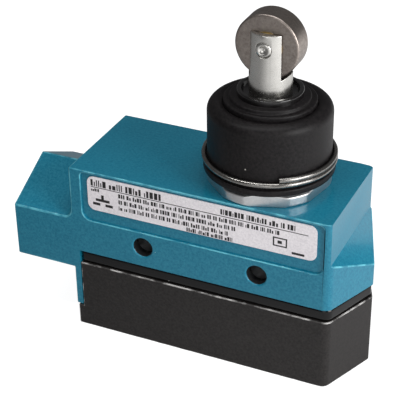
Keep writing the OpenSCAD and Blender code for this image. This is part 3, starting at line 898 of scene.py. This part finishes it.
thickness = label_print.modifiers.new("ink_thickness", "SOLIDIFY")
thickness.thickness = ink_depth
thickness.offset = -1
bpy.ops.object.modifier_apply(modifier="ink_thickness")
label_print.data.materials.clear()
label_print.data.materials.append(print_ink)
finish_piece(label_print, "housing", "label_foil")

# %% [markdown]
# ## Nut
# A thin zinc plated hexagon nut clamps the bushing to the roof. Its corners are turned off, so it
# looks nearly round. The CAD nut has that shape already, and a fine bevel lets it catch the light.

# %% Nut
bushing_locknut = copy_of_node("bushing_nut", "bushing_locknut")
round_edges(bushing_locknut, 0.18 * mm)
finish_piece(bushing_locknut, "housing", "zinc_steel", "bushing_nut")

# %% [markdown]
# ## Boot, wire ring and diaphragm
# The boot is moulded rubber: a thick wall with a lip at its foot, a round shoulder, and two rolled
# steps that fold when the plunger goes down. A spring wire of a little more than one turn clamps
# the lip. The rubber pieces are turned outlines and the wire is a winding curve. The steps join
# the housing's rubber to the plunger's collar. The collar is worn shinier than the rest, so it has
# a finish of its own.

# %% Boot wall
boot_low, boot_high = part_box("boot")
boot_radius = 12.5
boot_thickness = 1.6
mouth_radius = 9.3
foot_z = boot_low.z / mm
boot_top = boot_high.z / mm
lip_radius = (boot_high.x - plunger_axis.x) / mm

boot_outline = (
    [(boot_radius - boot_thickness, foot_z)]
    + arc((lip_radius - 0.35, foot_z + 0.35), 0.35, -90, 0, 4)
    + arc((lip_radius - 0.35, foot_z + 1.05), 0.35, 0, 90, 4)
    + [(boot_radius + 0.10, foot_z + 1.50), (boot_radius, foot_z + 1.80)]
    + [(boot_radius, boot_top - 5.0), (boot_radius, boot_top - 2.1)]
    + arc((boot_radius - 1.9, boot_top - 2.0), 1.9, 0, 75, 6)
    + [(10.6, boot_top - 0.02), (10.2, boot_top - 0.14), (9.8, boot_top - 0.30)]
    + [(9.45, boot_top - 0.36), (mouth_radius, boot_top - 0.5), (mouth_radius, boot_top - 1.5)]
    + [(boot_radius - boot_thickness, boot_top - 2.5)])
boot_wall = turned("boot_wall", boot_outline)
finish_piece(boot_wall, "housing", "boot_rubber", "boot", smooth_angle=60)

# %% Diaphragm
collar_radius = 6.6
step_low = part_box("boot_diaphragm")[0]
step_z = step_low.z / mm
diaphragm_outline = (
    [(mouth_radius, step_z + 0.02), (mouth_radius, step_z + 0.42)]
    + arc((8.95, step_z + 0.85), 0.32, 0, 90, 4)
    + [(8.5, step_z + 1.12), (8.2, step_z + 1.08), (8.05, step_z + 1.20)]
    + arc((7.75, step_z + 1.55), 0.30, 0, 90, 4)
    + [(7.2, step_z + 1.84), (6.9, step_z + 1.95), (collar_radius, step_z + 2.0)]
    + [(collar_radius, step_z + 1.35), (7.3, step_z + 1.25), (7.6, step_z + 0.65)]
    + [(8.5, step_z + 0.45), (8.7, step_z + 0.02)])
rolled_steps = turned("rolled_steps", diaphragm_outline)
finish_piece(rolled_steps, None, "boot_rubber", "boot_diaphragm", smooth_angle=60)
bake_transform(rolled_steps)

# %% Collar
collar_low, collar_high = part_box("boot_collar")
collar_foot = collar_low.z / mm
collar_top = collar_high.z / mm
rod_radius = 4.3
collar_outline = (
    [(rod_radius, collar_foot), (collar_radius, collar_foot), (collar_radius, collar_top - 0.30)]
    + arc((6.38, collar_top - 0.22), 0.22, 0, 90, 4)
    + arc((5.92, collar_top - 0.20), 0.20, 90, 170, 4)
    + [(5.55, collar_top - 0.75), (5.35, collar_top - 1.08), (5.10, collar_top - 1.2)]
    + [(rod_radius, collar_top - 1.2)])
boot_lip = turned("boot_lip", collar_outline)
boot_lip.data.materials.append(shiny_rubber)
finish_piece(boot_lip, "plunger", "boot_rubber", "boot_collar", smooth_angle=60)

# %% Wire ring
ring_low, ring_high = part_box("boot_ring")
ring_wire = 0.55
ring_radius = boot_radius + ring_wire + 0.05
ring_start = math.radians(-60)
ring_turns = 1.3
ring_top_z = ring_high.z / mm - ring_wire
ring_low_z = ring_low.z / mm + ring_wire
ring_points = []
ring_steps = 110
for i in range(ring_steps + 1):
    share = i / ring_steps
    angle = ring_start + 2 * math.pi * ring_turns * share
    height = ring_top_z + (ring_low_z - ring_top_z) * share
    ring_points.append(plunger_axis + Vector((ring_radius * math.cos(angle),
                                              ring_radius * math.sin(angle), height)) * mm)
clamp_ring = wound("clamp_ring", ring_points, ring_wire * mm)
finish_piece(clamp_ring, "housing", "spring_wire", "boot_ring", smooth_angle=50)

# %% [markdown]
# ## Plunger, roller and pin
# The plunger is a ground steel rod with a slot milled across its top. The roller turns in that
# slot on a pin whose ends are riveted over, which leaves a dimple and a raised ring. The rod keeps
# its CAD mesh with fine bevels, while the roller and the pin are turned again, with their
# chamfers, hubs and dimples. The hub of the roller is a brass bushing.

# %% Plunger rod
plunger_rod = copy_of_node("plunger", "plunger_rod")
round_edges(plunger_rod, 0.14 * mm, segments=2)
finish_piece(plunger_rod, "plunger", "plunger_steel", "plunger")

# %% Roller
roller_radius = (roller_high.x - roller_low.x) / 2 / mm
hub_half = (roller_high.y - roller_low.y) / 2 / mm
roller_half = hub_half - 0.2
bore = 1.66
bushing_rim = 3.2
half_outline = (
    [(bore, hub_half - 0.1), (bore + 0.12, hub_half), (3.05, hub_half)]
    + [(bushing_rim, hub_half - 0.10), (bushing_rim, roller_half), (4.6, roller_half)]
    + [(5.6, roller_half), (roller_radius - 0.45, roller_half)]
    + arc((roller_radius - 0.40, roller_half - 0.40), 0.40, 80, 10, 5))
roller_outline = half_outline + [(r, -h) for r, h in reversed(half_outline)]
roller_wheel = turned("roller_wheel", roller_outline, centre=roller_centre, axis=(0, 1, 0), steps=112)
roller_wheel.data.materials.append(finishes["roller_steel"])
roller_wheel.data.materials.append(finishes["brass_parts"])
for face in roller_wheel.data.polygons:
    reach = math.hypot(face.center.x - roller_centre.x, face.center.z - roller_centre.z) / mm
    face.material_index = SECOND_SLOT if reach < bushing_rim + 0.01 else MAIN_SLOT
finish_piece(roller_wheel, "roller", "roller_steel", "roller", smooth_angle=40)

# %% Riveted pin
pin_low, pin_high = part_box("roller_pin")
pin_half = (pin_high.y - pin_low.y) / 2 / mm
pin_radius = (pin_high.x - pin_low.x) / 2 / mm
half_pin = (
    [(0.0, pin_half - 0.30), (0.20, pin_half - 0.42), (0.62, pin_half - 0.34)]
    + [(0.85, pin_half - 0.10), (0.98, pin_half), (1.22, pin_half)]
    + [(pin_radius - 0.10, pin_half - 0.16), (pin_radius, pin_half - 0.34)])
pin_outline = half_pin + [(r, -h) for r, h in reversed(half_pin)]
riveted_pin = turned("riveted_pin", pin_outline, centre=roller_centre, axis=(0, 1, 0), steps=48)
finish_piece(riveted_pin, "plunger", "plunger_steel", "roller_pin", smooth_angle=40)

# %% [markdown]
# ## Springs inside
# The return spring pushes the plunger up, and a small spring inside the plunger takes its
# overtravel. Each stands between two moving parts, and each is drawn as a coil of wire in its CAD
# spring's place.

# %% Springs
def standing_spring(name, node, radius, wire, turns):
    """A coil in a CAD spring's place. The radius and the wire's own radius are in mm."""
    low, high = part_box(node)
    coil = wound(name, helix(radius, low.z / mm + wire, high.z / mm - wire, turns), wire * mm, 3)
    finish_piece(coil, None, "spring_wire", node, smooth_angle=60)
    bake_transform(coil)


standing_spring("plunger_return_spring", "return_spring", 5.4, 0.30, 4.5)
standing_spring("pusher_spring", "overtravel_spring", 1.9, 0.25, 5.0)

# %% [markdown]
# ## What stays as the CAD made it
# The snap switch, its terminals, blade and contacts, the bushing, the pusher, the small seals, the
# sleeves and the liner are hidden, plain shapes whose CAD mesh is right as it stands. They keep
# it, and each takes the finish of its own material slot.

# %% Finishes on the CAD nodes that stay
for name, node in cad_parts.items():
    if node.hide_render:
        continue
    for material_slot in node.material_slots:
        own = material_slot.material.name.split(".")[0]
        material_slot.material = finishes[own]
        print(f"{name}: {own}")
